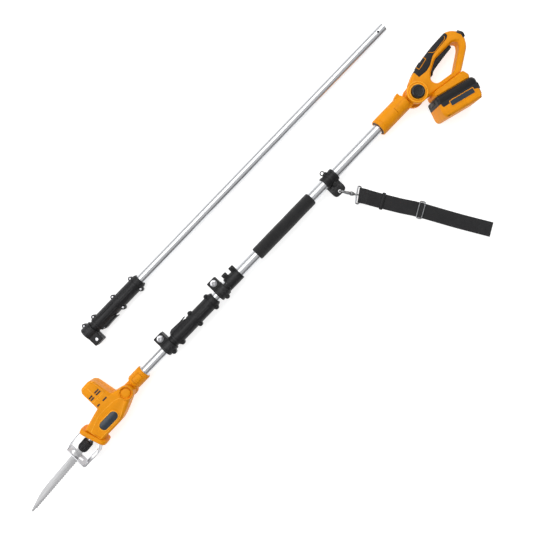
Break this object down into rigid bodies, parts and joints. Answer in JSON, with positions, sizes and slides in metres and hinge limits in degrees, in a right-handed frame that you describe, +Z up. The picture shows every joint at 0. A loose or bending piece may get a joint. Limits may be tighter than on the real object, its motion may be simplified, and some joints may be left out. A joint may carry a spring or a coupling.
{
  "type": "telescoping pole saw",
  "caption": "Battery reciprocating saw head on a telescoping aluminium pole with a D-handle, webbing strap and spare extension pole.",
  "frame": {"origin": "middle of the bounding box, on the floor that the saw lies on", "axes": "+X along the pole from the blade to the handle, +Y to the side that the motor housing stands out on, +Z up from the floor"},
  "size_m": [1.5998, 0.5906, 0.072],
  "materials": {
    "matte_orange": "satin moulded plastic",
    "matte_black": "satin moulded plastic",
    "rubber_grey": "soft moulded rubber",
    "foam_black": "closed-cell foam",
    "webbing_black": "woven webbing",
    "aluminium_tube": "satin anodised",
    "steel": "ground steel",
    "chrome": "bright plated",
    "cast_alloy": "cast",
    "bronze": "sintered bronze",
    "plate_navy": "dark plate, no text",
    "cell_wrap": "shrink wrap"
  },
  "bodies": {
    "pole": {"outer_tube": "aluminium_tube", "foam_grip": "foam_black", "sleeve_upper": "matte_black", "sleeve_lower": "matte_black", "upper_clamp": "matte_black", "strap_clamp_upper": "matte_black", "strap_clamp_lower": "matte_black", "socket_shell_upper": "matte_orange", "socket_shell_lower": "matte_orange", "socket_bush": "matte_black"},
    "upper_bolt": {"upper_clamp_bolt": "chrome"},
    "telescope": {"inner_tube": "aluminium_tube", "coupler_shell_upper": "matte_black", "coupler_shell_lower": "matte_black", "coupler_clamp": "matte_black", "coupler_plug": "matte_black"},
    "coupler_bolt": {"coupler_clamp_bolt": "chrome"},
    "coupler_lever": {"coupler_lever": "matte_black"},
    "head_mount": {"head_tube": "aluminium_tube", "head_socket": "matte_orange"},
    "head": {"head_shell_upper": "matte_orange", "head_shell_lower": "matte_orange", "head_label": "plate_navy", "nose_flange": "matte_orange", "shoe": "chrome", "gear_frame": "cast_alloy", "plunger_bush": "bronze", "gear_axle": "steel", "head_motor": "cast_alloy", "head_hinge_bolt": "steel"},
    "rotor": {"motor_pinion": "steel"},
    "crank": {"crank_gear": "steel"},
    "blade_drive": {"blade": "steel", "plunger": "steel"},
    "collar": {"blade_collar": "matte_black"},
    "handle": {"handle_shell_upper": "matte_orange", "handle_shell_lower": "matte_orange", "grip_overmould": "rubber_grey", "rear_bumper": "rubber_grey", "trigger_switch": "matte_black", "battery_foot": "matte_orange"},
    "knob": {"hinge_knob": "matte_black"},
    "trigger": {"trigger": "matte_black"},
    "lock": {"lock_slider": "matte_black"},
    "battery": {"battery_cover": "matte_black", "battery_case": "matte_orange", "battery_cells": "cell_wrap"},
    "battery_button": {"battery_button": "matte_black"},
    "strap": {"snap_hook": "chrome", "strap_ring": "chrome", "strap_slider": "chrome", "shoulder_strap": "webbing_black"},
    "extension": {"extension_tube": "aluminium_tube", "extension_shell_upper": "matte_black", "extension_shell_lower": "matte_black", "extension_clamp": "matte_black", "extension_plug": "matte_black"},
    "extension_bolt": {"extension_clamp_bolt": "chrome"},
    "extension_lever": {"extension_lever": "matte_black"}
  },
  "joints": [
    {"name": "telescope_slide", "type": "slide", "parent": "pole", "child": "telescope", "axis": [-1, 0, 0], "range_m": [0, 0.42]},
    {"name": "upper_bolt_turn", "type": "hinge", "parent": "pole", "child": "upper_bolt", "pos_m": [-0.07352, 0.12776, 0.036], "axis": [0, 0, 1], "range_deg": [0, 360]},
    {"name": "coupler_bolt_turn", "type": "hinge", "parent": "telescope", "child": "coupler_bolt", "pos_m": [-0.26402, 0.12776, 0.036], "axis": [0, 0, 1], "range_deg": [0, 360]},
    {"name": "coupler_lever_press", "type": "hinge", "parent": "telescope", "child": "coupler_lever", "pos_m": [-0.22302, 0.11826, 0.036], "axis": [0, 0, 1], "range_deg": [-5, 0], "stiffness_Nm_per_rad": 0.5},
    {"name": "head_pull", "type": "slide", "parent": "telescope", "child": "head_mount", "axis": [-1, 0, 0], "range_m": [0, 0.08]},
    {"name": "head_tilt", "type": "hinge", "parent": "head_mount", "child": "head", "pos_m": [-0.41402, 0.09576, 0.036], "axis": [0, 0, 1], "range_deg": [-30, 50]},
    {"name": "crank_spin", "type": "hinge", "parent": "head", "child": "crank", "pos_m": [-0.49321, 0.08467, 0.036], "axis": [-0.0593, 0.9982, 0], "continuous": true},
    {"name": "rotor_spin", "type": "hinge", "parent": "head", "child": "rotor", "pos_m": [-0.46626, 0.08627, 0.036], "axis": [-0.0593, 0.9982, 0], "continuous": true},
    {"name": "blade_stroke", "type": "slide", "parent": "head", "child": "blade_drive", "axis": [-0.9982, -0.0593, 0], "range_m": [-0.01, 0.01]},
    {"name": "collar_twist", "type": "hinge", "parent": "blade_drive", "child": "collar", "pos_m": [-0.60102, 0.07826, 0.036], "axis": [0.9982, 0.0593, 0], "range_deg": [0, 60], "stiffness_Nm_per_rad": 0.2},
    {"name": "handle_tilt", "type": "hinge", "parent": "pole", "child": "handle", "pos_m": [0.61398, 0.09276, 0.036], "axis": [0, 0, 1], "range_deg": [-45, 30]},
    {"name": "knob_press", "type": "slide", "parent": "handle", "child": "knob", "axis": [0, 0, -1], "range_m": [0, 0.004], "stiffness_N_per_m": 1500},
    {"name": "trigger_pull", "type": "slide", "parent": "handle", "child": "trigger", "axis": [0, 1, 0], "range_m": [0, 0.005], "stiffness_N_per_m": 800},
    {"name": "lock_slide", "type": "slide", "parent": "handle", "child": "lock", "axis": [0.9799, 0.1994, 0], "range_m": [0, 0.007]},
    {"name": "battery_slide", "type": "slide", "parent": "handle", "child": "battery", "axis": [0.9636, -0.2672, 0], "range_m": [0, 0.11]},
    {"name": "battery_button_press", "type": "slide", "parent": "battery", "child": "battery_button", "axis": [0.9636, -0.2672, 0], "range_m": [0, 0.003], "stiffness_N_per_m": 800},
    {"name": "strap_swing", "type": "hinge", "parent": "pole", "child": "strap", "pos_m": [0.31098, 0.06126, 0.036], "axis": [0, 0, 1], "range_deg": [-60, 12]},
    {"name": "extension_lift", "type": "slide", "parent": "pole", "child": "extension", "axis": [0, 0, 1], "range_m": [0, 0.2]},
    {"name": "extension_bolt_turn", "type": "hinge", "parent": "extension", "child": "extension_bolt", "pos_m": [-0.37902, 0.24276, 0.036], "axis": [0, 0, 1], "range_deg": [0, 360]},
    {"name": "extension_lever_press", "type": "hinge", "parent": "extension", "child": "extension_lever", "pos_m": [-0.33802, 0.25226, 0.036], "axis": [0, 0, 1], "range_deg": [0, 5], "stiffness_Nm_per_rad": 0.5}
  ],
  "couplings": [
    {"joint": "rotor_spin", "follows": "crank_spin", "ratio": -4}
  ]
}
